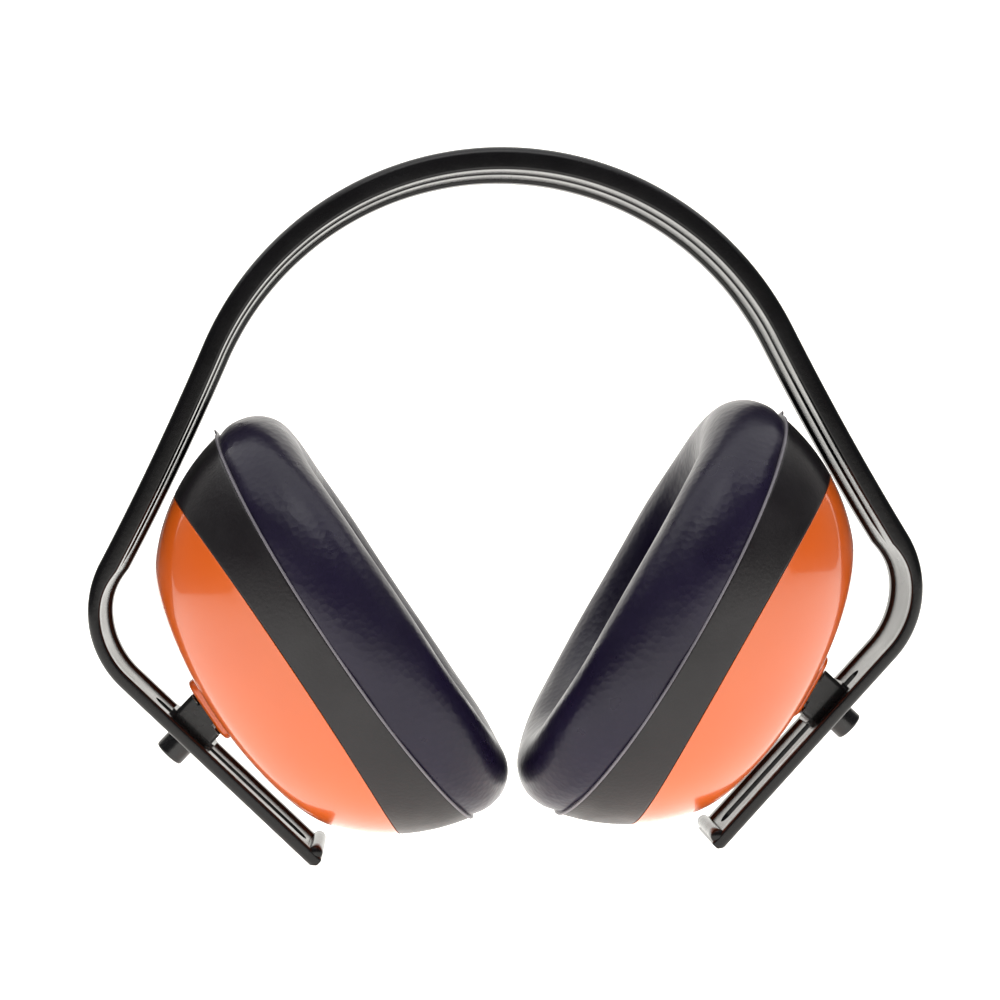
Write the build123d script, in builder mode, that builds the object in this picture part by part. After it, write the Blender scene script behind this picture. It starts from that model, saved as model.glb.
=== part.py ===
"""Passive hearing-protection earmuffs: a sprung plastic headband whose slotted ends carry two oval ear cups.

Frame: X runs from the left cup to the right cup, Y is the wearing depth (front is -Y), Z is up.
The origin lies on the surface that the two rail tips stand on, midway between them.
Every cup piece is drawn in a cup frame: x runs up the cup's long axis, z points at the head,
and z = 0 is where the dome meets its collar on the long axis.
Every pivot piece is drawn in a stud frame: x runs down the rail, z points from the rail at the cup,
and z = 0 is the rail's outer face. The right side is drawn and the left side is its mirror image.
"""

from build123d import *

import os
from math import cos, pi, radians, sin, sqrt, tan

os.makedirs("parts", exist_ok=True)

# ---------------------------------------------------------------- headband sizes (mm, degrees)
band_width = 24.0
flange_width = 3.2
crown_radius = 72.5
crown_centre_z = 85.5
crown_span = 65.0  # half the arc, from the top to where the arms begin
crown_thickness = 5.2
shoulder_thickness = 4.5
arm_thickness = 4.3
kink_thickness = 2.8
rail_thickness = 3.0
kink_centre = Vector(69.9, 57.2)
kink_radius = 23.2
arm_lean = 29.5  # from the vertical, bottom outwards, where the arm enters the kink
rail_lean = 44.5  # from the vertical, bottom inwards
rail_length = 58.6  # end of the kink to the tip
recess = 0.7
rib_width = 3.0
rib_inset = 0.3
hinge_angle = 20.0  # where the flexing crown is taken to hinge
slot_width = 5.0
slot_top = 7.0  # from the end of the kink
slot_bottom = 53.6
tip_lip_radius = 1.6
tip_lip_from_end = 2.2

# ---------------------------------------------------------------- ear cup sizes
cup_centre = Vector(49.9, 44.1)
cup_lean = 31.7  # of the cup's long axis from the vertical, bottom inwards
oval_power = 2.25  # exponent of the cup's superellipse plan
width_share = 0.757  # cup width over cup length
wall_arc_radius = 46.5  # the side of the cup in section, on its long axis
wall_arc_r = 5.9
wall_arc_z = 23.8
dome_z = -19.6
dome_radius = 98.0
shell_wall = 2.2
parting_radius = 222.0  # the dome's rim rises towards the head at the cup's sides
seat_z = 15.2  # top of the collar on the long axis
seat_radius = 249.0  # the collar's top falls away at the cup's sides
collar_wall = 2.2
plate_z = 10.2
plate_thickness = 1.4
cushion_half_length = 51.8
cushion_face_z = 30.5
cushion_outer_round = 10.0
cushion_inner_round = 5.5
opening_half_length = 29.5
opening_half_width = 19.0
skin = 1.0
lip = 0.7  # how far the cushion's seam stands out
lip_thickness = 0.9
liner_thickness = 7.0
liner_top_z = 4.0

# ---------------------------------------------------------------- pivot sizes
stud_along = 17.8  # stud to the end of the kink, down the rail
pivot_height = 10.5  # tilt pin above the rail's outer face
running_gap = 0.05
knob_radius = 3.5
knob_height = 5.2
shank_radius = 2.4
shank_end = 7.0
washer_radius = 4.4
washer_thickness = 0.55
shoe_length = 12.4
shoe_width = 10.6
shoe_bottom = 2.35
shoe_top = 4.0
yoke_length = 10.8
yoke_bottom = 4.1
yoke_base_top = 5.6
ear_inner = 4.4
ear_outer = 6.4
ear_radius = 2.5
yoke_clearance = 0.8  # between the yoke's shoulders and the pad on the cup
clip_radius = 3.6
clip_thickness = 0.6
pin_radius = 1.2
pin_length = 17.0
boss_z = -20.6
boss_length = 15.6
boss_width = 18.4
pocket_length = 11.8
pocket_width = 13.6
pocket_floor_z = -13.6
well_wall = 1.8

# ---------------------------------------------------------------- headband outline
rail_dir = Vector(-sin(radians(rail_lean)), -cos(radians(rail_lean)))
rail_in = Vector(-cos(radians(rail_lean)), sin(radians(rail_lean)))


def facing(angle):
    """The outward direction that lies that far round from straight up, towards +X."""
    return Vector(sin(radians(angle)), cos(radians(angle)))


def crown_point(angle, inset=0.0):
    """A point on the crown, that far inside its outer face."""
    return Vector(0, crown_centre_z) + facing(angle) * (crown_radius - inset)


arm_top = crown_point(crown_span)
arm_bottom = kink_centre + facing(90 - arm_lean) * kink_radius
rail_top = kink_centre + facing(90 + rail_lean) * kink_radius

# each station is a point on the outer face, the outward angle there and the thickness
stations = []
for step in range(6):
    angle = crown_span * step / 5
    share = (1 - cos(radians(angle))) / (1 - cos(radians(crown_span)))
    stations.append((crown_point(angle), angle, crown_thickness + (shoulder_thickness - crown_thickness) * share))
arm_run = (arm_bottom - arm_top).length
for share in (0.25, 0.5, 0.75):
    # a cubic from the crown's slope to the arm's slope
    start = facing(crown_span + 90) * arm_run
    end = facing(180 - arm_lean) * arm_run
    h1, h2 = 2 * share**3 - 3 * share**2 + 1, share**3 - 2 * share**2 + share
    h3, h4 = 3 * share**2 - 2 * share**3, share**3 - share**2
    point = arm_top * h1 + start * h2 + arm_bottom * h3 + end * h4
    angle = crown_span + (90 - arm_lean - crown_span) * share
    stations.append((point, angle, shoulder_thickness + (arm_thickness - shoulder_thickness) * share))
for step in range(6):
    angle = 90 - arm_lean + (arm_lean + rail_lean) * step / 5
    low = arm_thickness if step < 2 else rail_thickness
    bulge = sin(pi * step / 5)
    stations.append((kink_centre + facing(angle) * kink_radius, angle, low + (kink_thickness - low) * bulge))


def outline(outer_inset, inner_inset):
    """Draw half the band from the middle of the crown to the tip, between those two insets."""
    outer = [p - facing(a) * outer_inset for p, a, t in stations]
    inner = [p - facing(a) * (t - inner_inset) for p, a, t in stations]
    outer_tip = outer[-1] + rail_dir * rail_length
    inner_tip = inner[-1] + rail_dir * rail_length
    tangents = [(1, 0), rail_dir]
    Spline(*outer, tangents=tangents)
    Line(outer[-1], outer_tip)
    Line(outer_tip, inner_tip)
    Line(inner_tip, inner[-1])
    Spline(*inner, tangents=tangents)
    Line(inner[0], outer[0])


# ---------------------------------------------------------------- the whole right half of the band
stud_origin = rail_top + rail_dir * stud_along
stud_frame = Plane(
    origin=(stud_origin.X, 0, stud_origin.Y), x_dir=(rail_dir.X, 0, rail_dir.Y), z_dir=(rail_in.X, 0, rail_in.Y)
)
slot_middle = (slot_top + slot_bottom) / 2 - stud_along

with BuildPart() as half_band:
    with BuildSketch(Plane.XZ):
        with BuildLine():
            outline(0, 0)
        make_face()
    extrude(amount=band_width / 2, both=True)
    with BuildSketch(Plane.XZ):
        with BuildLine():
            outline(0, 0)
        make_face()
    extrude(amount=band_width / 2 - flange_width, both=True, mode=Mode.SUBTRACT)
    with BuildSketch(Plane.XZ):
        with BuildLine():
            outline(recess, recess)
        make_face()
    extrude(amount=band_width / 2 - flange_width, both=True)
    # the low rib under the crown and the arms stops above the kink
    with BuildSketch(Plane.XZ):
        with BuildLine():
            outline(recess, rib_inset)
        make_face()
        with Locations((50, arm_bottom.Y + 50)):
            Rectangle(100, 100, mode=Mode.INTERSECT)
    extrude(amount=rib_width / 2, both=True)
    # the slot that the stud slides in
    with BuildSketch(stud_frame):
        with Locations((slot_middle, 0)):
            SlotOverall(slot_bottom - slot_top, slot_width)
    extrude(amount=10, both=True, mode=Mode.SUBTRACT)
    # solid end beyond the slot, with the finger lip on its inner face
    with BuildSketch(Plane.XZ):
        tip_inner = rail_top + rail_dir * (rail_length - tip_lip_from_end) + rail_in * rail_thickness
        with Locations(tip_inner):
            Circle(tip_lip_radius)
        foot = rail_top + rail_dir * rail_length
        with BuildLine():
            Polyline(
                foot,
                foot - rail_dir * 3.4,
                foot - rail_dir * 3.4 + rail_in * rail_thickness,
                foot + rail_in * rail_thickness,
                close=True,
            )
        make_face()
    extrude(amount=band_width / 2, both=True)
    # the flat foot that the tip stands on
    with Locations((50, 0, -10)):
        Box(200, 60, 20, mode=Mode.SUBTRACT)

crown_cut = Plane(origin=(0, 0, crown_centre_z), z_dir=(cos(radians(hinge_angle)), 0, -sin(radians(hinge_angle))))
arm_cut = Plane(origin=(0, 0, crown_centre_z), z_dir=(cos(radians(crown_span)), 0, -sin(radians(crown_span))))

with BuildPart() as headband_crown:
    add(half_band.part)
    split(bisect_by=crown_cut, keep=Keep.BOTTOM)
    mirror(about=Plane.YZ)

with BuildPart() as headband_shoulder:
    add(half_band.part)
    split(bisect_by=crown_cut, keep=Keep.TOP)
    split(bisect_by=arm_cut, keep=Keep.BOTTOM)

with BuildPart() as headband_arm:
    add(half_band.part)
    split(bisect_by=arm_cut, keep=Keep.TOP)

# ---------------------------------------------------------------- ear cup
cup_up = Vector(sin(radians(cup_lean)), cos(radians(cup_lean)))
cup_in = Vector(-cos(radians(cup_lean)), sin(radians(cup_lean)))
cup_frame = Plane(
    origin=(cup_centre.X, 0, cup_centre.Y), x_dir=(cup_up.X, 0, cup_up.Y), z_dir=(cup_in.X, 0, cup_in.Y)
)


def wall_reach(z):
    """The cup's half-length at that height."""
    return wall_arc_r + sqrt(wall_arc_radius**2 - (wall_arc_z - z) ** 2)


def oval(z, half_length, half_width=None):
    """A superellipse face across the cup at that height."""
    half_width = half_width or half_length * width_share
    points = []
    for step in range(24):
        c, s = cos(2 * pi * step / 24), sin(2 * pi * step / 24)
        x = half_length * abs(c) ** (2 / oval_power) * (1 if c > 0 else -1)
        y = half_width * abs(s) ** (2 / oval_power) * (1 if s > 0 else -1)
        points.append((x, y))
    with BuildSketch(cup_frame.offset(z)) as face:
        with BuildLine():
            Spline(*points, periodic=True)
        make_face()
    return face.sketch.faces()[0]


def cup_body(inset, low_z, high_z):
    """Faces to loft: the cup's curved body between two heights, that far inside its outer face."""
    heights = [low_z + (high_z - low_z) * step / 6 for step in range(7)]
    return [oval(z, wall_reach(z) - inset) for z in heights]


def dome_ball(inset):
    """The big ball whose surface is the crown of the dome."""
    with BuildPart(cup_frame.offset(dome_z + dome_radius)) as ball:
        Sphere(dome_radius - inset)
    return ball.part


def saddle(radius, z, hollow_side):
    """A long cylinder along the cup that touches that height, on its head side or its dome side."""
    with BuildPart(cup_frame.offset(z + radius * hollow_side)) as roller:
        Cylinder(radius, 180, rotation=(0, 90, 0))
    return roller.part


def block(plane, length, width, height, corner=0.0, x=0.0):
    """A block that stands on a plane, with rounded corners in plan if asked."""
    with BuildPart() as body:
        with BuildSketch(plane):
            with Locations((x, 0)):
                if corner:
                    RectangleRounded(length, width, corner)
                else:
                    Rectangle(length, width)
        extrude(amount=height)
    return body.part


def round_bar(plane, radius, height, x=0.0):
    """A round bar that stands on a plane."""
    with BuildPart() as body:
        with BuildSketch(plane):
            with Locations((x, 0)):
                Circle(radius)
        extrude(amount=height)
    return body.part


pivot_point = stud_origin + rail_in * pivot_height
pivot_x = (pivot_point - cup_centre).dot(cup_up)
pin_frame = Plane(origin=(pivot_point.X, 0, pivot_point.Y), x_dir=(1, 0, 0), z_dir=(0, 1, 0))
parting = saddle(parting_radius, 0, 1)
seat = saddle(seat_radius, seat_z, -1)

with BuildPart() as cup_hollow:
    loft(cup_body(shell_wall, -20.8, 8.0))
    add(dome_ball(shell_wall), mode=Mode.INTERSECT)

with BuildPart() as cup_shell:
    loft(cup_body(0, -20.8, 8.0))
    add(dome_ball(0), mode=Mode.INTERSECT)
    # raised pad around the pivot
    add(block(cup_frame.offset(boss_z), boss_length, boss_width, 4.0, 3.0, pivot_x))
    add(cup_hollow.part, mode=Mode.SUBTRACT)
    # closed well that the yoke reaches into
    well_height = pocket_floor_z + well_wall - boss_z - 1
    add(
        block(
            cup_frame.offset(boss_z + 1),
            pocket_length + 2 * well_wall,
            pocket_width + 2 * well_wall,
            well_height,
            2.0,
            pivot_x,
        )
    )
    pocket_height = pocket_floor_z - boss_z + 5
    pocket = block(cup_frame.offset(boss_z - 5), pocket_length, pocket_width, pocket_height, 1.0, pivot_x)
    add(pocket, mode=Mode.SUBTRACT)
    add(round_bar(pin_frame.offset(-pin_length / 2), pin_radius, pin_length), mode=Mode.SUBTRACT)
    add(parting, mode=Mode.SUBTRACT)

# ledge in the collar that the cushion's plate rests on
with BuildPart() as ledge:
    loft([oval(z, wall_reach(z) - 1) for z in (plate_z - 1.6, plate_z)])
    loft([oval(z, 44.0) for z in (plate_z - 2.0, plate_z + 0.5)], mode=Mode.SUBTRACT)

with BuildPart() as cup_collar:
    loft(cup_body(0, -2.0, 17.0))
    loft(cup_body(collar_wall, -2.2, 17.2), mode=Mode.SUBTRACT)
    add(parting, mode=Mode.INTERSECT)
    add(seat, mode=Mode.INTERSECT)
    add(ledge.part)

plate_reach = wall_reach(plate_z) - collar_wall - 0.15
with BuildPart() as cushion_plate:
    hole = (opening_half_length + 2.5, opening_half_width + 2.5)
    loft([oval(z, plate_reach) for z in (plate_z, plate_z + plate_thickness)])
    loft([oval(z, *hole) for z in (plate_z - 1, plate_z + 3)], mode=Mode.SUBTRACT)


def cushion_ring(inset):
    """The cushion's puffy ring, that far inside its outer face."""
    low = seat_z - 6
    with BuildPart() as ring:
        loft([oval(z, cushion_half_length - inset) for z in (low, cushion_face_z - inset)])
        hole = (opening_half_length + inset, opening_half_width + inset)
        top = cup_frame.from_local_coords(Vector(0, 0, cushion_face_z - inset))
        fillet(faces().sort_by_distance(top)[0].edges(), cushion_outer_round - inset)
        loft([oval(z, *hole) for z in (low - 1, cushion_face_z + 1)], mode=Mode.SUBTRACT)
        rim = faces().sort_by(lambda f: (f.center() - top).dot(cup_frame.z_dir))[-1]
        fillet(rim.inner_wires()[0].edges(), cushion_inner_round - inset)
    return ring.part


plate_top = plate_z + plate_thickness
below_plate = block(cup_frame.offset(plate_top), 140, 110, -30)

# the space around the foam where it sits inside the collar
with BuildPart() as collar_space:
    add(seat)
    loft([oval(z, plate_reach - 0.2) for z in (plate_z - 5, seat_z + 5)], mode=Mode.SUBTRACT)

with BuildPart() as cushion_foam:
    add(cushion_ring(skin))
    add(below_plate, mode=Mode.SUBTRACT)
    add(collar_space.part, mode=Mode.SUBTRACT)

# the welded seam stands out as a thin lip over the collar
with BuildPart() as seam_lip:
    loft([oval(z, wall_reach(seat_z) + lip) for z in (seat_z - 5, seat_z + 5)])
    loft([oval(z, plate_reach - 0.2) for z in (seat_z - 6, seat_z + 6)], mode=Mode.SUBTRACT)
    add(seat, mode=Mode.SUBTRACT)
    add(saddle(seat_radius, seat_z + lip_thickness, -1), mode=Mode.INTERSECT)

# the skin lines the opening down to the plate
with BuildPart() as inner_wall:
    lined = (opening_half_length + skin, opening_half_width + skin)
    loft([oval(z, *lined) for z in (plate_top, seat_z + 2)])
    loft([oval(z, opening_half_length, opening_half_width) for z in (plate_z, seat_z + 3)], mode=Mode.SUBTRACT)

with BuildPart() as cushion_skin:
    add(cushion_ring(0))
    add(seat, mode=Mode.SUBTRACT)
    add(seam_lip.part)
    add(cushion_foam.part, mode=Mode.SUBTRACT)
    add(inner_wall.part)

with BuildPart() as cup_liner:
    loft([oval(z, wall_reach(z) - shell_wall - 0.4) for z in (liner_top_z - liner_thickness, liner_top_z)])

# ---------------------------------------------------------------- slider, pivot yoke and pin
with BuildPart() as stud_knob:
    add(round_bar(stud_frame.offset(0.1 - knob_height), knob_radius, knob_height))
    knob_top = stud_frame.from_local_coords(Vector(0, 0, -knob_height - 5))
    fillet(faces().sort_by_distance(knob_top)[0].edges(), 0.6)
    add(round_bar(stud_frame, shank_radius, shank_end))

with BuildPart() as slide_washer:
    add(round_bar(stud_frame.offset(0.1), washer_radius, washer_thickness))
    add(round_bar(stud_frame, shank_radius + running_gap, 5), mode=Mode.SUBTRACT)

with BuildPart() as slider_shoe:
    add(block(stud_frame.offset(shoe_bottom), shoe_length, shoe_width, shoe_top - shoe_bottom, 1.5))
    add(round_bar(stud_frame, shank_radius + running_gap, 9), mode=Mode.SUBTRACT)

with BuildPart() as retaining_clip:
    add(round_bar(stud_frame.offset(shank_end - 0.5 - clip_thickness), clip_radius, clip_thickness))
    add(round_bar(stud_frame, shank_radius, 9), mode=Mode.SUBTRACT)

# the yoke's shoulders rise to a slant that lies along the cup's pad
pad_lean = radians(rail_lean - cup_lean)
pad_drop = ((cup_centre - pivot_point).dot(cup_in) + boss_z) / cos(pad_lean) - yoke_clearance
shoulder_z = [pivot_height + pad_drop - x * tan(pad_lean) for x in (-yoke_length / 2, yoke_length / 2)]

with BuildPart() as pivot_yoke:
    with BuildSketch(Plane(origin=stud_frame.origin, x_dir=stud_frame.x_dir, z_dir=(0, 1, 0))):
        half = yoke_length / 2
        with BuildLine():
            Polyline((-half, yoke_bottom), (half, yoke_bottom), (half, shoulder_z[1]), (-half, shoulder_z[0]), close=True)
        make_face()
    extrude(amount=ear_outer, both=True)
    fillet(edges().filter_by(Axis(stud_frame.origin, stud_frame.z_dir)), 1.0)
    add(block(stud_frame.offset(yoke_bottom), 2 * ear_radius, 2 * ear_outer, pivot_height - yoke_bottom))
    add(round_bar(pin_frame.offset(-ear_outer), ear_radius, 2 * ear_outer))
    add(block(stud_frame.offset(yoke_base_top), 20, 2 * ear_inner, 12), mode=Mode.SUBTRACT)
    add(round_bar(stud_frame, shank_radius + running_gap, 12), mode=Mode.SUBTRACT)
    add(round_bar(pin_frame.offset(-12), pin_radius + running_gap, 24), mode=Mode.SUBTRACT)

with BuildPart() as tilt_pin:
    add(round_bar(pin_frame.offset(-pin_length / 2), pin_radius, pin_length))

# ---------------------------------------------------------------- export, right side and its mirror image
right_side = {
    "headband_shoulder": headband_shoulder,
    "headband_arm": headband_arm,
    "stud_knob": stud_knob,
    "slide_washer": slide_washer,
    "slider_shoe": slider_shoe,
    "retaining_clip": retaining_clip,
    "pivot_yoke": pivot_yoke,
    "tilt_pin": tilt_pin,
    "cup_shell": cup_shell,
    "cup_collar": cup_collar,
    "acoustic_liner": cup_liner,
    "cushion_plate": cushion_plate,
    "cushion_foam": cushion_foam,
    "cushion_skin": cushion_skin,
}

headband_crown.part.label = "headband_crown"
export_step(headband_crown.part, "parts/headband_crown.step")
for name, body in right_side.items():
    with BuildPart() as twin:
        add(body.part)
        mirror(about=Plane.YZ, mode=Mode.REPLACE)
    for side, solid in (("right", body.part), ("left", twin.part)):
        solid.label = f"{name}_{side}"
        export_step(solid, f"parts/{name}_{side}.step")
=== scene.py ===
import math

import bmesh
import bpy
import numpy as np
from mathutils import Matrix, Vector


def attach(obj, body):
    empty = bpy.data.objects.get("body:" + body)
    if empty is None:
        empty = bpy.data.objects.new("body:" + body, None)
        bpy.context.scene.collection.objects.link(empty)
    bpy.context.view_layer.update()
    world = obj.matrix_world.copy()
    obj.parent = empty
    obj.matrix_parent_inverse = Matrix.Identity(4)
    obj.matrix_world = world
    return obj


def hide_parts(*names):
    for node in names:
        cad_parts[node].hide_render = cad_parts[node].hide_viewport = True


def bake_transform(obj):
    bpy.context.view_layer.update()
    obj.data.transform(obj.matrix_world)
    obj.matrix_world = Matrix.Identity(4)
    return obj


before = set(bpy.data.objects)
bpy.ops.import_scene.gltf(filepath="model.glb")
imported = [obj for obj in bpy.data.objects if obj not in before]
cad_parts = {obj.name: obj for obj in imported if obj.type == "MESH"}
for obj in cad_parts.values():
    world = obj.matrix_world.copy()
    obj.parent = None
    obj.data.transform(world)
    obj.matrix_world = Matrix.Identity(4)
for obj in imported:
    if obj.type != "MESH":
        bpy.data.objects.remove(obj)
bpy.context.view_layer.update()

MM = 0.001
SIDES = (("right", 1.0), ("left", -1.0))

# ------------------------------------------------------------------ sizes, in mm, as in the CAD
BAND_HALF_WIDTH, FLANGE = 12.0, 3.2
CROWN_R, CROWN_Z, CROWN_SPAN = 72.5, 85.5, 65.0
KINK_C, KINK_R = np.array((69.9, 57.2)), 23.2
ARM_LEAN, RAIL_LEAN, RAIL_LENGTH = 29.5, 44.5, 58.6
RECESS, RIB_INSET = 0.7, 0.3
CROWN_THICK, SHOULDER_THICK, ARM_THICK, KINK_THICK, RAIL_THICK = 5.2, 4.5, 4.3, 2.8, 3.0
END_ROUNDING = 0.8
SLOT_TOP, SLOT_BOTTOM, SLOT_WIDTH = 7.0, 53.6, 5.0
STUD_ALONG, PIVOT_HEIGHT = 17.8, 10.5
LIP_RADIUS, LIP_FROM_END = 1.6, 2.2

# cups: a plan of exponent POWER, SHARE as deep as it is long; the wall's arc, the dome, the two saddles
CUP_C, CUP_LEAN = np.array((49.9, 44.1)), 31.7
POWER, SHARE = 2.25, 0.757
WALL_R, WALL_RHO, WALL_Z = 46.5, 5.9, 23.8
WALL_THICK, DOME_THICK, LINER_GAP = 2.1, 2.2, 0.6
DOME_Z, DOME_R = -19.6, 98.0
PARTING_R, SEAT_Z, SEAT_R = 222.0, 15.2, 249.0
PAD_LENGTH, PAD_WIDTH, PAD_CORNER, PAD_TOP, PAD_ROUNDING = 15.6, 18.4, 3.0, -20.6, 0.9
WELL_LENGTH, WELL_WIDTH, WELL_CORNER, WELL_FLOOR = 11.8, 13.6, 1.0, -13.6
DOME_HOLE = (13.8, 16.0, 2.0)
CUSHION_OUT, HOLE_A, HOLE_B, CREST = 51.8, 29.5, 19.0, 30.45
PUFF_LIMIT = 0.9

# rows of points along the band: crown, straight arm, kink
CROWN_ROWS, ARM_ROWS, KINK_ROWS = 66, 55, 39


def facing(deg):
    return np.array((math.sin(math.radians(deg)), math.cos(math.radians(deg))))


RAIL_DIR = np.array((-math.sin(math.radians(RAIL_LEAN)), -math.cos(math.radians(RAIL_LEAN))))
RAIL_IN = np.array((-math.cos(math.radians(RAIL_LEAN)), math.sin(math.radians(RAIL_LEAN))))
CUP_UP = np.array((math.sin(math.radians(CUP_LEAN)), math.cos(math.radians(CUP_LEAN))))
CUP_IN = np.array((-math.cos(math.radians(CUP_LEAN)), math.sin(math.radians(CUP_LEAN))))
RAIL_TOP = KINK_C + facing(90 + RAIL_LEAN) * KINK_R
STUD = RAIL_TOP + RAIL_DIR * STUD_ALONG
PIVOT = STUD + RAIL_IN * PIVOT_HEIGHT
PIVOT_X = float((PIVOT - CUP_C) @ CUP_UP)


# ------------------------------------------------------------------ mesh helpers
def make(name, verts, faces, smooth=35.0):
    """A mesh object from vertices in metres, shaded smooth except over edges sharper than that angle."""
    mesh = bpy.data.meshes.new(name)
    mesh.from_pydata([tuple(v) for v in verts], [], [tuple(int(i) for i in f) for f in faces])
    mesh.validate()
    mesh.update()
    obj = bpy.data.objects.new(name, mesh)
    bpy.context.scene.collection.objects.link(obj)
    bm = bmesh.new()
    bm.from_mesh(mesh)
    bmesh.ops.recalc_face_normals(bm, faces=bm.faces)
    bm.to_mesh(mesh)
    bm.free()
    shade(obj, smooth)
    return obj


def shade(obj, angle):
    mesh = obj.data
    mesh.polygons.foreach_set("use_smooth", [True] * len(mesh.polygons))
    if angle is not None:
        mesh.set_sharp_from_angle(angle=math.radians(angle))
    mesh.update()


def baked(obj):
    """The object's mesh with its modifiers applied."""
    graph = bpy.context.evaluated_depsgraph_get()
    graph.update()
    mesh = bpy.data.meshes.new_from_object(obj.evaluated_get(graph))
    obj.modifiers.clear()
    old = obj.data
    obj.data = mesh
    bpy.data.meshes.remove(old)
    return obj


def ring_faces(rows, cols, close_rows=False):
    """Quads over a grid of rows, each row a closed ring of cols vertices."""
    faces = []
    for r in range(rows if close_rows else rows - 1):
        a, b = r * cols, ((r + 1) % rows) * cols
        for c in range(cols):
            d = (c + 1) % cols
            faces.append((a + c, a + d, b + d, b + c))
    return faces


def end_caps(rows, cols):
    """The two faces that close a stack of rings at its first and last row."""
    return [tuple(range(cols)), tuple((rows - 1) * cols + c for c in reversed(range(cols)))]


def cup_world(points, sign):
    """Cup frame, in mm, to the row frame, in metres."""
    p = np.asarray(points, float).reshape(-1, 3)
    x = CUP_C[0] + p[:, 0] * CUP_UP[0] + p[:, 2] * CUP_IN[0]
    z = CUP_C[1] + p[:, 0] * CUP_UP[1] + p[:, 2] * CUP_IN[1]
    return np.stack((x * sign, p[:, 1], z), 1) * MM


def stud_world(points, sign):
    """Stud frame (down the rail, across, towards the cup), in mm, to the row frame, in metres."""
    p = np.asarray(points, float).reshape(-1, 3)
    x = STUD[0] + p[:, 0] * RAIL_DIR[0] + p[:, 2] * RAIL_IN[0]
    z = STUD[1] + p[:, 0] * RAIL_DIR[1] + p[:, 2] * RAIL_IN[1]
    return np.stack((x * sign, p[:, 1], z), 1) * MM


def spline(points, count_per=12):
    """A smooth curve through points (centripetal Catmull-Rom), as many samples per span as asked."""
    p = np.asarray(points, float)
    p = np.vstack((2 * p[0] - p[1], p, 2 * p[-1] - p[-2]))
    out = []
    for i in range(1, len(p) - 2):
        p0, p1, p2, p3 = p[i - 1], p[i], p[i + 1], p[i + 2]
        t0 = 0.0
        t1 = t0 + max(np.linalg.norm(p1 - p0), 1e-9) ** 0.5
        t2 = t1 + max(np.linalg.norm(p2 - p1), 1e-9) ** 0.5
        t3 = t2 + max(np.linalg.norm(p3 - p2), 1e-9) ** 0.5
        for t in np.linspace(t1, t2, count_per, endpoint=False):
            a1 = (t1 - t) / (t1 - t0) * p0 + (t - t0) / (t1 - t0) * p1
            a2 = (t2 - t) / (t2 - t1) * p1 + (t - t1) / (t2 - t1) * p2
            a3 = (t3 - t) / (t3 - t2) * p2 + (t - t2) / (t3 - t2) * p3
            b1 = (t2 - t) / (t2 - t0) * a1 + (t - t0) / (t2 - t0) * a2
            b2 = (t3 - t) / (t3 - t1) * a2 + (t - t1) / (t3 - t1) * a3
            out.append((t2 - t) / (t2 - t1) * b1 + (t - t1) / (t2 - t1) * b2)
    out.append(p[-2])
    return np.array(out)


def step(x, low, high):
    t = np.clip((np.asarray(x, float) - low) / (high - low), 0, 1)
    return t * t * (3 - 2 * t)


# ------------------------------------------------------------------ materials
def material(name, colour, dark, rough, bump, scale, metallic=0.0, coat=0.0, coat_rough=0.1, sheen=0.0,
             specular=0.5, grain="noise", rough_swing=0.08):
    """A procedural finish: colour drifting between two tones, uneven roughness and a fine grain."""
    mat = bpy.data.materials.new(name)
    mat.use_nodes = True
    nodes, links = mat.node_tree.nodes, mat.node_tree.links
    shader = nodes["Principled BSDF"]
    shader.inputs["Metallic"].default_value = metallic
    shader.inputs["Coat Weight"].default_value = coat
    shader.inputs["Coat Roughness"].default_value = coat_rough
    shader.inputs["Sheen Weight"].default_value = sheen
    shader.inputs["Specular IOR Level"].default_value = specular
    place = nodes.new("ShaderNodeTexCoord")
    broad = nodes.new("ShaderNodeTexNoise")
    broad.inputs["Scale"].default_value = 38.0
    broad.inputs["Detail"].default_value = 3.0
    links.new(place.outputs["Object"], broad.inputs["Vector"])
    ramp = nodes.new("ShaderNodeValToRGB")
    ramp.color_ramp.elements[0].position = 0.3
    ramp.color_ramp.elements[1].position = 0.7
    ramp.color_ramp.elements[0].color = (*dark, 1)
    ramp.color_ramp.elements[1].color = (*colour, 1)
    links.new(broad.outputs["Fac"], ramp.inputs["Fac"])
    links.new(ramp.outputs["Color"], shader.inputs["Base Color"])
    smudge = nodes.new("ShaderNodeTexNoise")
    smudge.inputs["Scale"].default_value = 90.0
    smudge.inputs["Detail"].default_value = 5.0
    links.new(place.outputs["Object"], smudge.inputs["Vector"])
    swing = nodes.new("ShaderNodeMapRange")
    swing.inputs["From Min"].default_value = 0.3
    swing.inputs["From Max"].default_value = 0.7
    swing.inputs["To Min"].default_value = rough - rough_swing
    swing.inputs["To Max"].default_value = rough + rough_swing
    links.new(smudge.outputs["Fac"], swing.inputs["Value"])
    links.new(swing.outputs["Result"], shader.inputs["Roughness"])
    if grain == "cells":
        fine = nodes.new("ShaderNodeTexVoronoi")
        fine.inputs["Scale"].default_value = scale
        height = fine.outputs["Distance"]
    else:
        fine = nodes.new("ShaderNodeTexNoise")
        fine.inputs["Scale"].default_value = scale
        fine.inputs["Detail"].default_value = 4.0
        height = fine.outputs["Fac"]
    links.new(place.outputs["Object"], fine.inputs["Vector"])
    relief = nodes.new("ShaderNodeBump")
    relief.inputs["Strength"].default_value = bump
    relief.inputs["Distance"].default_value = 0.0002
    links.new(height, relief.inputs["Height"])
    links.new(relief.outputs["Normal"], shader.inputs["Normal"])
    return mat


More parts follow.
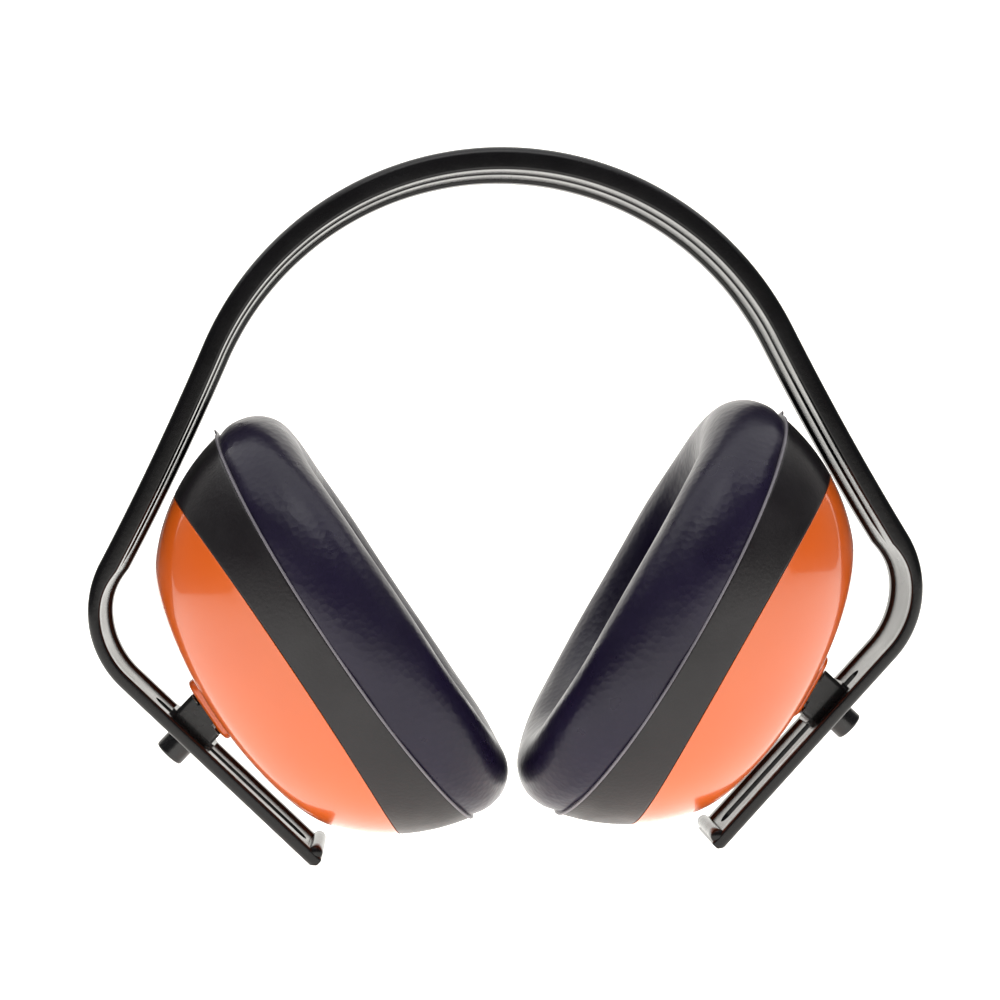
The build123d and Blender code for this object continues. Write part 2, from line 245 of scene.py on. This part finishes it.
band_mat = material("band_black_plastic", (0.0045, 0.0042, 0.0048), (0.003, 0.0028, 0.0032),
                    rough=0.24, bump=0.12, scale=900.0, specular=0.34, rough_swing=0.05)
shell_mat = material("cup_orange_plastic", (0.70, 0.112, 0.004), (0.67, 0.101, 0.003),
                     rough=0.34, bump=0.04, scale=700.0, coat=0.88, coat_rough=0.07, rough_swing=0.03)
collar_mat = material("collar_black_plastic", (0.0095, 0.0075, 0.0095), (0.006, 0.0048, 0.006),
                      rough=0.38, bump=0.25, scale=1200.0, specular=0.42)
cushion_mat = material("cushion_black_vinyl", (0.011, 0.0072, 0.026), (0.0075, 0.005, 0.018),
                       rough=0.33, bump=0.3, scale=650.0, coat=0.05, coat_rough=0.25, specular=0.3,
                       grain="cells")
seam_mat = material("seam_vinyl", (0.2, 0.185, 0.21), (0.12, 0.11, 0.13), rough=0.42, bump=0.2, scale=900.0)
foam_mat = material("foam_dark", (0.02, 0.02, 0.022), (0.008, 0.008, 0.009),
                    rough=0.95, bump=1.0, scale=900.0, sheen=0.15, grain="cells", specular=0.2)
fitting_mat = material("fitting_black_plastic", (0.009, 0.0085, 0.0095), (0.006, 0.0058, 0.0064),
                       rough=0.26, bump=0.12, scale=1000.0)
steel_mat = material("pin_steel", (0.55, 0.55, 0.57), (0.42, 0.42, 0.44),
                     rough=0.32, bump=0.15, scale=1500.0, metallic=1.0)


def paint(obj, mat):
    obj.data.materials.clear()
    obj.data.materials.append(mat)
    return obj


# ------------------------------------------------------------------ headband
def band_stations():
    """Points down the outer face of half the band: position, outward angle, thickness, distance along."""
    pos, ang, thick = [], [], []
    crown_end = np.array((0, CROWN_Z)) + facing(CROWN_SPAN) * CROWN_R
    for a in np.linspace(0, CROWN_SPAN, CROWN_ROWS):
        share = (1 - math.cos(math.radians(a))) / (1 - math.cos(math.radians(CROWN_SPAN)))
        pos.append(np.array((0, CROWN_Z)) + facing(a) * CROWN_R)
        ang.append(a)
        thick.append(CROWN_THICK + (SHOULDER_THICK - CROWN_THICK) * share)
    arm_end = KINK_C + facing(90 - ARM_LEAN) * KINK_R
    run = np.linalg.norm(arm_end - crown_end)
    start, end = facing(CROWN_SPAN + 90) * run, facing(180 - ARM_LEAN) * run
    for s in np.linspace(0, 1, ARM_ROWS + 1)[1:]:
        h1, h2 = 2 * s**3 - 3 * s**2 + 1, s**3 - 2 * s**2 + s
        h3, h4 = 3 * s**2 - 2 * s**3, s**3 - s**2
        slope = (6 * s**2 - 6 * s) * (crown_end - arm_end)
        slope = slope + (3 * s**2 - 4 * s + 1) * start + (3 * s**2 - 2 * s) * end
        pos.append(crown_end * h1 + start * h2 + arm_end * h3 + end * h4)
        ang.append(math.degrees(math.atan2(slope[0], slope[1])) - 90)
        thick.append(SHOULDER_THICK + (ARM_THICK - SHOULDER_THICK) * s)
    for s in np.linspace(0, 1, KINK_ROWS + 1)[1:]:
        a = 90 - ARM_LEAN + (ARM_LEAN + RAIL_LEAN) * s
        low = ARM_THICK + (RAIL_THICK - ARM_THICK) * float(step(s, 0.0, 0.6))
        pos.append(KINK_C + facing(a) * KINK_R)
        ang.append(a)
        thick.append(low + (KINK_THICK - low) * math.sin(math.pi * s))
    from_end = (4.2, 3.9, 3.7, 3.5, 3.4, 3.2, 2.9, 2.4, 1.8, 1.2, 0.8, 0.5, 0.25, 0.1, 0.0)
    near_end = [RAIL_LENGTH - v for v in from_end]
    for d in sorted(list(np.arange(1.0, RAIL_LENGTH - 4.4, 1.0)) + near_end):
        pos.append(RAIL_TOP + RAIL_DIR * d)
        ang.append(90 + RAIL_LEAN)
        thick.append(RAIL_THICK)
    pos, ang, thick = np.array(pos), np.array(ang), np.array(thick)
    along = np.concatenate(((0.0,), np.cumsum(np.linalg.norm(np.diff(pos, axis=0), axis=1))))
    return pos, ang, thick, along


B_POS, B_ANG, B_THICK, B_ALONG = band_stations()
KINK_AT = B_ALONG[CROWN_ROWS + ARM_ROWS - 1]
BAND_END = B_ALONG[-1]


def band_section():
    """Closed loop round the band: (across, which face, corner depth, how recessed, how much of the rib)."""
    corner = [(1 - math.cos(t), 1 - math.sin(t)) for t in np.linspace(0, math.pi / 2, 7)]
    step_in = [(-0.45, 0.0), (-0.25, 0.06), (-0.1, 0.22), (0.0, 0.5), (0.1, 0.8), (0.25, 0.95), (0.45, 1.0)]
    rib = [(-2.1, 0.0), (-1.85, 0.06), (-1.65, 0.25), (-1.5, 0.6), (-1.35, 0.88), (-1.15, 1.0), (-0.5, 1.0)]
    loops = []
    for r, middle in ((1.7, [(-1.2, 0.0)]), (0.6, rib)):
        half = [(r * c - BAND_HALF_WIDTH, r * d, 0.0, 0.0) for c, d in corner]
        half += [(w + FLANGE - BAND_HALF_WIDTH, 0.0, a, 0.0) for w, a in step_in]
        half += [(w, 0.0, 1.0, 0.0) for w in (-6.2, -4.0)] + [(w, 0.0, 1.0, b) for w, b in middle]
        loops.append(half + [(-w, d, a, b) for w, d, a, b in reversed(half)])
    outer, inner = loops
    ring = [(w, "outer", d, a, b) for w, d, a, b in outer]
    return ring + [(w, "inner", d, a, b) for w, d, a, b in reversed(inner)]


SECTION = band_section()


def band_piece(name, first, last, sign):
    """The swept band between two distances along it, closed at both ends."""
    keep = [i for i in range(len(B_ALONG)) if first - 1e-6 <= B_ALONG[i] <= last + 1e-6]
    verts = []
    for i in keep:
        out = facing(B_ANG[i])
        t = B_THICK[i]
        from_end = BAND_END - B_ALONG[i]
        deep = RECESS * float(step(from_end, 3.3, 3.9))
        rib = float(step(KINK_AT - B_ALONG[i], -2.0, 6.0))
        close = 0.0
        if from_end <= END_ROUNDING:
            close = END_ROUNDING - math.sqrt(max(END_ROUNDING**2 - (END_ROUNDING - from_end) ** 2, 0.0))
        for w, face, d, a, b in SECTION:
            if face == "outer":
                depth = min(d, t / 2) + deep * a + close * 0.6
            else:
                low = deep * a * (1 - b * rib) + min(deep, RIB_INSET) * b * rib
                depth = t - min(d, t / 2) - low - close * 0.6
            p = B_POS[i] - out * depth
            verts.append((p[0] * sign, w * (1 - 0.03 * close), max(p[1], 0.0)))
    cols, rows = len(SECTION), len(keep)
    faces = ring_faces(rows, cols) + end_caps(rows, cols)
    return make(name, np.array(verts) * MM, faces, 40.0)


def slot_cutter(sign):
    """A stadium prism through the rail."""
    r = SLOT_WIDTH / 2
    low, high = SLOT_TOP - STUD_ALONG + r, SLOT_BOTTOM - STUD_ALONG - r
    loop = [(high + r * math.cos(t), r * math.sin(t)) for t in np.linspace(-math.pi / 2, math.pi / 2, 17)]
    loop += [(low + r * math.cos(t), r * math.sin(t)) for t in np.linspace(math.pi / 2, 3 * math.pi / 2, 17)]
    n = len(loop)
    pts = [(x, y, -6.0) for x, y in loop] + [(x, y, 9.0) for x, y in loop]
    faces = [tuple(range(n)), tuple(reversed(range(n, 2 * n)))]
    faces += [(i, (i + 1) % n, n + (i + 1) % n, n + i) for i in range(n)]
    return make("slot_cutter", stud_world(pts, sign), faces, None)


def along_crown(deg):
    return math.radians(deg) * CROWN_R


MIDDLE = min(B_ALONG, key=lambda v: abs(v - along_crown(42.0)))


# each half is two pieces, split partway round the crown
for side, sign in SIDES:
    upper = band_piece(f"headband_upper_{side}", 0.0, MIDDLE, sign)
    paint(upper, band_mat)
    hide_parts("headband_crown", f"headband_shoulder_{side}")
    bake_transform(upper)

    lower = band_piece(f"headband_lower_{side}", MIDDLE, BAND_END, sign)
    cutter = slot_cutter(sign)
    cut = lower.modifiers.new("slot", "BOOLEAN")
    cut.operation = "DIFFERENCE"
    cut.solver = "EXACT"
    cut.object = cutter
    baked(lower)
    bpy.data.objects.remove(cutter)
    shade(lower, 40.0)
    paint(lower, band_mat)
    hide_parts(f"headband_arm_{side}")
    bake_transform(lower)

    # rounded lip across the inner face of the rail's end
    lip = []
    flat = BAND_HALF_WIDTH - END_ROUNDING
    ends = [(w, LIP_RADIUS * math.sqrt(max(0.0, 1 - (max(0.0, abs(w) - flat) / END_ROUNDING) ** 2)))
            for w in (-11.98, -11.9, -11.7, -11.45, -11.2, -7, -3, 0, 3, 7, 11.2, 11.45, 11.7, 11.9, 11.98)]
    at = RAIL_LENGTH - LIP_FROM_END - STUD_ALONG
    for w, r in ends:
        for t in np.linspace(0, 2 * math.pi, 24, endpoint=False):
            lip.append((at + r * math.cos(t), w, RAIL_THICK + r * math.sin(t)))
    faces = ring_faces(len(ends), 24) + end_caps(len(ends), 24)
    tip = paint(make(f"rail_tip_lip_{side}", stud_world(lip, sign), faces, 40.0), band_mat)
    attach(tip, f"arm_{side}")

# ------------------------------------------------------------------ ear cups
COLS = 224
ROUND = np.linspace(0, 2 * math.pi, COLS, endpoint=False)
UX = np.sign(np.cos(ROUND)) * np.abs(np.cos(ROUND)) ** (2 / POWER)
UY = np.sign(np.sin(ROUND)) * np.abs(np.sin(ROUND)) ** (2 / POWER)


def wall_height(rho, inset=0.0):
    r = np.clip(rho + inset - WALL_RHO, 0, WALL_R - 1e-6)
    return WALL_Z - np.sqrt(WALL_R**2 - r**2)


def wall_reach(h):
    return WALL_RHO + np.sqrt(WALL_R**2 - (WALL_Z - h) ** 2)


def dome_height(x, y, inset=0.0, soft=1.6):
    """Height of the dome's surface: the broad crown meets the wall in a soft shoulder."""
    rho = (np.abs(x) ** POWER + np.abs(y / SHARE) ** POWER) ** (1 / POWER)
    crown = DOME_Z + DOME_R - np.sqrt((DOME_R - inset) ** 2 - x**2 - y**2)
    wall = wall_height(rho, inset)
    gap = np.clip(0.5 + 0.5 * (wall - crown) / soft, 0, 1)
    return crown + (wall - crown) * gap + soft * gap * (1 - gap)


def parting_height(y):
    return PARTING_R - np.sqrt(PARTING_R**2 - y**2)


def seat_height(y):
    return SEAT_Z - SEAT_R + np.sqrt(SEAT_R**2 - y**2)


def rim(height_at):
    """Half-length reached in each direction where the wall meets a saddle, and the height there."""
    rho = np.full(COLS, 45.0)
    for _ in range(12):
        rho = wall_reach(height_at(rho * SHARE * UY))
    return rho, height_at(rho * SHARE * UY)


def rounded_loop(length, width, corner, x=0.0):
    """Where a ray in each direction of the plan leaves a rounded rectangle."""
    out = []
    for cx, cy in zip(np.cos(ROUND), np.sin(ROUND)):
        low, high = 0.0, max(length, width)
        for _ in range(40):
            mid = (low + high) / 2
            px, py = abs(cx * mid) - (length / 2 - corner), abs(cy * mid) - (width / 2 - corner)
            inside = math.hypot(max(px, 0), max(py, 0)) - corner + min(max(px, py), 0) <= 0
            low, high = (mid, high) if inside else (low, mid)
        out.append((x + cx * low, cy * low))
    return np.array(out)


def ring_row(rho, height):
    """A ring of cup points at that half-length and height, each a number or one value per direction."""
    return np.column_stack((rho * UX, rho * SHARE * UY, np.broadcast_to(height, COLS)))


def shell_points():
    """The dome: outside from the well's hole to the rim, over the rim, and back along the inside."""
    rho_rim, h_rim = rim(parting_height)
    edge = np.stack((rho_rim * UX, rho_rim * SHARE * UY), 1)
    hole = rounded_loop(*DOME_HOLE, PIVOT_X)
    rows = []
    for s in np.linspace(0, 1, 72):
        plan = hole + (edge - hole) * s
        rows.append(np.column_stack((plan, dome_height(plan[:, 0], plan[:, 1]))))
    rows[-1][:, 2] = h_rim - 0.10
    # rounded rim and the wall's thickness
    for inset, up in ((0.05, -0.03), (0.16, 0.0), (1.0, 0.0), (WALL_THICK, 0.0)):
        rows.append(ring_row(rho_rim - inset, h_rim + up))
    inner_edge = rows[-1][:, :2]
    for s in np.linspace(0, 1, 24)[1:]:
        plan = inner_edge + (hole - inner_edge) * s
        inner = dome_height(plan[:, 0], plan[:, 1], inset=DOME_THICK)
        rows.append(np.column_stack((plan, np.minimum(inner, h_rim))))
    return rows


SHELL_ROWS = shell_points()


def collar_points():
    """The black collar: a band of the wall between the two saddles, closed along its inside."""
    low_rho, low_h = rim(parting_height)
    top_rho, top_h = rim(seat_height)
    joint_gap = 0.05
    rows = [ring_row(low_rho - inset, low_h + joint_gap) for inset in (WALL_THICK, 0.30)]
    for s in np.concatenate(((0.0, 0.006, 0.02), np.linspace(0.05, 0.95, 26), (0.98, 0.994, 1.0))):
        h = low_h + joint_gap + (top_h - low_h - joint_gap) * s
        rounding = 0.18 * (max(0.0, 1 - s / 0.02) ** 2 + max(0.0, (s - 0.98) / 0.02) ** 2)
        rows.append(ring_row(wall_reach(h) - rounding, h))
    rows += [ring_row(top_rho - inset, top_h) for inset in (0.9, WALL_THICK)]
    for s in (0.75, 0.5, 0.25):
        h = low_h + (top_h - low_h) * s
        rows.append(ring_row(wall_reach(h) - WALL_THICK, h))
    return rows


def seam_points():
    """The welded edge of the vinyl, standing out over the collar, with a small moulding tab at the top."""
    top_rho, top_h = rim(seat_height)
    tab, tab_half_angle = 1.2, 0.034
    out_by = 0.45 + tab * np.exp(-((np.minimum(ROUND, 2 * math.pi - ROUND) / tab_half_angle) ** 4))
    lip = ((-1.0, 0.06), (0.0, 0.02), (0.7, 0.02), (0.93, 0.1), (1.0, 0.27), (0.93, 0.45), (0.7, 0.54),
           (0.0, 0.58), (-1.0, 0.66))
    rows = []
    for reach, up in lip:
        rho = top_rho + (out_by * reach if reach > 0 else reach * 1.4)
        rows.append(ring_row(rho, top_h + up))
    return rows


# the cushion's profile: how far in from its outer edge, and how high
PROFILE = spline([(1.5, 14.9), (0.7, 15.9), (0.15, 17.2), (-0.15, 19.2), (0.0, 21.8), (0.75, 24.8),
                  (2.5, 27.6), (5.2, 29.6), (8.8, CREST), (12.4, 30.2), (15.8, 28.7), (18.6, 26.2),
                  (20.6, 22.6), (21.6, 18.4), (21.9, 14.6), (21.6, 12.4)], 5)


def cushion_points():
    """The vinyl ring: its profile swept round the cup, seated on the saddle, with slight unevenness."""
    rows = []
    count = len(PROFILE)
    under = [(17.0, 12.0), (11.0, 12.0), (6.0, 12.1), (3.4, 12.6), (2.4, 13.8)]
    lumps = (0.16 * np.sin(3 * ROUND + 0.6) + 0.11 * np.sin(5 * ROUND + 2.1) + 0.08 * np.sin(9 * ROUND + 4.0))
    outer = np.stack((CUSHION_OUT * UX, CUSHION_OUT * SHARE * UY), 1)
    inner = np.stack((HOLE_A * UX, HOLE_B * UY), 1)
    mid = outer + (inner - outer) * 0.5
    for i, (q, h) in enumerate(list(PROFILE) + under):
        plan = outer + (inner - outer) * (q / (CUSHION_OUT - HOLE_A) * 1.015)
        # the outer side follows the saddle, less and less towards the crest; the hole's side does not
        ease = float(np.clip(1 - (h - SEAT_Z) / (CREST - SEAT_Z), 0, 1)) if i < count else 0.6
        if q > 14:
            ease = 0.0
        height = h - (SEAT_Z - seat_height(plan[:, 1])) * ease
        if i < count:
            proud = math.sin(math.pi * i / (count - 1)) ** 0.6
            height = height + lumps * proud * 0.8
            away = plan - mid
            away = away / np.maximum(np.linalg.norm(away, axis=1, keepdims=True), 1e-6)
            plan = plan + away * (lumps * proud)[:, None] * 0.5
        rows.append(np.column_stack((plan, height)))
    return rows


def evened(move, cols, held, passes=6):
    """The movement of a grid of points, averaged with its neighbours so no crease is finer than the grid."""
    grid = move.reshape(-1, cols, 3)
    still = np.zeros(len(move), bool)
    still[held] = True
    still = still.reshape(-1, cols)
    for _ in range(passes):
        across = (np.roll(grid, 1, 1) + 2 * grid + np.roll(grid, -1, 1)) / 4
        grid = (np.roll(across, 1, 0) + 2 * across + np.roll(across, -1, 0)) / 4
        grid[still] = 0.0
    return grid.reshape(-1, 3)


def puffed(obj, pinned, limit, frames=20):
    """Inflate a closed cover a little with cloth, hold its pinned points, and keep the result."""
    rest = np.array([v.co for v in obj.data.vertices], float)
    group = obj.vertex_groups.new(name="held")
    group.add([int(i) for i in pinned], 1.0, "REPLACE")
    cloth = obj.modifiers.new("cover", "CLOTH")
    settings = cloth.settings
    settings.quality = 6
    settings.mass = 0.2
    settings.tension_stiffness = 12
    settings.compression_stiffness = 8
    settings.shear_stiffness = 6
    settings.bending_stiffness = 0.4
    settings.use_pressure = True
    settings.uniform_pressure_force = 4.0
    settings.vertex_group_mass = "held"
    settings.pin_stiffness = 1.0
    settings.effector_weights.gravity = 0.0
    settings.shrink_min = -0.02
    cloth.point_cache.frame_start = 1
    cloth.point_cache.frame_end = frames
    scene = bpy.context.scene
    for f in range(1, frames + 1):
        scene.frame_set(f)
    graph = bpy.context.evaluated_depsgraph_get()
    now = np.array([v.co for v in obj.evaluated_get(graph).data.vertices], float)
    obj.modifiers.clear()
    scene.frame_set(1)
    move = now - rest
    size = np.linalg.norm(move, axis=1, keepdims=True)
    move *= np.minimum(1.0, limit / np.maximum(size, 1e-12))
    move[~np.isfinite(move)] = 0.0
    move = evened(move, COLS, pinned)
    obj.data.vertices.foreach_set("co", (rest + move).ravel())
    obj.data.update()
    obj.vertex_groups.clear()
    return obj


cushion_rows = cushion_points()
cushion_flat = np.concatenate(cushion_rows)
cushion_faces = ring_faces(len(cushion_rows), COLS, close_rows=True)
trial = make("cover_trial", cup_world(cushion_flat, 1.0), cushion_faces, None)
first_free, last_free = 4, len(PROFILE) - 6
held = [i for i in range(len(cushion_flat)) if not first_free <= i // COLS <= last_free]
puffed(trial, held, PUFF_LIMIT * MM)
soft = np.array([v.co for v in trial.data.vertices], float)
bpy.data.objects.remove(trial)


def boss_points():
    """The raised pad with the yoke's well: rings from the outer wall over the top and down the well."""
    def outer(less):
        return rounded_loop(PAD_LENGTH - less, PAD_WIDTH - less, PAD_CORNER - less * 0.4, PIVOT_X)

    def well(more):
        return rounded_loop(WELL_LENGTH + more, WELL_WIDTH + more, WELL_CORNER + more * 0.4, PIVOT_X)

    rows = [(outer(0), h) for h in (-11.8, -16.0, -18.4, PAD_TOP + PAD_ROUNDING)]
    for t in np.linspace(0.2, math.pi / 2, 7):
        rows.append((outer(4 * PAD_ROUNDING * (1 - math.cos(t))), PAD_TOP + PAD_ROUNDING * (1 - math.sin(t))))
    for t in np.linspace(0, math.pi / 2, 5):
        rows.append((well(0.5 * (1 - math.sin(t))), PAD_TOP + 0.25 * (1 - math.cos(t))))
    rows += [(well(0), h) for h in (-20.0, -17.0, WELL_FLOOR)]
    return [np.column_stack((loop, np.full(COLS, h))) for loop, h in rows]


def cup_piece(name, rows, sign, mat, closed, smooth=40.0):
    """Rings of cup points as a piece: joined end to end, or capped at both ends."""
    faces = ring_faces(len(rows), COLS, closed) + ([] if closed else end_caps(len(rows), COLS))
    return paint(make(name, cup_world(np.concatenate(rows), sign), faces, smooth), mat)


def liner_points():
    """Foam sheet at the bottom of the cup, slightly crowned."""
    rows = []
    for f, h in ((0.9, -2.9), (0.985, -2.6), (1.0, -1.0), (1.0, 2.2), (0.985, 3.4), (0.95, 4.0)):
        reach = float(wall_reach(h)) - WALL_THICK - LINER_GAP
        rows.append(ring_row(reach * f, h))
    for f in (0.85, 0.7, 0.5, 0.3, 0.1, 0.02):
        lump = 0.5 * (1 - f) + 0.25 * np.sin(3 * ROUND) * f
        rows.append(ring_row(reach * f, 4.0 + lump))
    return rows


for side, sign in SIDES:
    body = f"cup_{side}"
    shell = cup_piece(f"cup_dome_{side}", SHELL_ROWS, sign, shell_mat, closed=True)
    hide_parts(f"cup_shell_{side}")
    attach(shell, body)

    boss = cup_piece(f"pivot_boss_{side}", boss_points(), sign, shell_mat, closed=False)
    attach(boss, body)

    collar = cup_piece(f"cup_ring_{side}", collar_points(), sign, collar_mat, closed=True)
    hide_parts(f"cup_collar_{side}")
    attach(collar, body)

    seam = cup_piece(f"cushion_seam_{side}", seam_points(), sign, seam_mat, closed=True,
                     smooth=50.0)
    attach(seam, body)

    cushion = make(f"ear_cushion_{side}", soft * np.array((sign, 1, 1)), cushion_faces, None)
    smooth = cushion.modifiers.new("smooth", "SUBSURF")
    smooth.levels = smooth.render_levels = 1
    baked(cushion)
    shade(cushion, None)
    paint(cushion, cushion_mat)
    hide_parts(f"cushion_skin_{side}", f"cushion_foam_{side}")
    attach(cushion, body)

    liner = cup_piece(f"foam_liner_{side}", liner_points(), sign, foam_mat, closed=False, smooth=60.0)
    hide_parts(f"acoustic_liner_{side}")
    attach(liner, body)

# ------------------------------------------------------------------ finishes for the CAD pieces that stay
CAD_FINISHES = {"stud_knob": fitting_mat, "slide_washer": fitting_mat, "slider_shoe": fitting_mat,
                "pivot_yoke": fitting_mat, "retaining_clip": steel_mat, "tilt_pin": steel_mat,
                "cushion_plate": collar_mat}
for side, _ in SIDES:
    for node, mat in CAD_FINISHES.items():
        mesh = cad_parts[f"{node}_{side}"].data
        mesh.materials.clear()
        mesh.materials.append(mat)

# ------------------------------------------------------------------ floor, light and camera
FLOOR_Z = -0.0265  # clear of the cups when they are slid right down


def backdrop():
    """A pale floor that curves up into a wall behind the part."""
    half_width, bend_at, bend = 2.2, 0.5, 0.8
    line = [(-8.0, 0.0), (0.0, 0.0), (bend_at, 0.0)]
    for t in np.linspace(0.1, math.pi / 2, 16):
        line.append((bend_at + bend * math.sin(t), bend - bend * math.cos(t)))
    line.append((bend_at + bend, 2.6))
    verts = [(x, y, z + FLOOR_Z) for y, z in line for x in (-half_width, half_width)]
    faces = [(2 * i, 2 * i + 1, 2 * i + 3, 2 * i + 2) for i in range(len(line) - 1)]
    obj = make("floor", verts, faces, None)
    mat = bpy.data.materials.new("floor_white")
    mat.use_nodes = True
    shader = mat.node_tree.nodes["Principled BSDF"]
    shader.inputs["Base Color"].default_value = (0.9, 0.9, 0.9, 1)
    shader.inputs["Roughness"].default_value = 0.8
    shader.inputs["Emission Color"].default_value = (1, 0.97, 0.9, 1)
    shader.inputs["Emission Strength"].default_value = 1.0
    obj.data.materials.append(mat)


backdrop()
world = bpy.data.worlds.new("studio") if not bpy.context.scene.world else bpy.context.scene.world
bpy.context.scene.world = world
world.use_nodes = True
world.node_tree.nodes["Background"].inputs["Color"].default_value = (0.93, 0.95, 1.0, 1)
world.node_tree.nodes["Background"].inputs["Strength"].default_value = 0.09


def softbox(name, at, target, width, height, power):
    light = bpy.data.lights.new(name, "AREA")
    light.shape = "RECTANGLE"
    light.size, light.size_y = width, height
    light.energy = power
    obj = bpy.data.objects.new(name, light)
    obj.location = at
    obj.rotation_euler = (Vector(target) - Vector(at)).to_track_quat("-Z", "Y").to_euler()
    bpy.context.scene.collection.objects.link(obj)


softbox("top_box", (0.0, 0.0, 0.95), (0, 0, 0.0), 2.0, 1.2, 12.0)
softbox("front_top", (0.0, -0.55, 0.7), (0, 0, 0.09), 0.5, 0.3, 1.3)

camera = bpy.data.cameras.new("camera")
camera.lens = 79.2
camera.sensor_width = 36.0
camera.clip_start = 0.01
eye = bpy.data.objects.new("camera", camera)
bpy.context.scene.collection.objects.link(eye)
yaw, roll, away = math.radians(2.5), math.radians(2.0), 0.5
target = Vector((-0.0007, 0, 0.0794))
place = target + Vector((-math.sin(yaw), -math.cos(yaw), 0)) * away
forward = (target - place).normalized()
right = forward.cross(Vector((0, 0, 1))).normalized()
up = right.cross(forward)
up, right = up * math.cos(roll) + right * math.sin(roll), right * math.cos(roll) - up * math.sin(roll)
eye.matrix_world = Matrix.Translation(place) @ Matrix((right, up, -forward)).transposed().to_4x4()
bpy.context.scene.camera = eye
bpy.context.scene.view_settings.view_transform = "Standard"
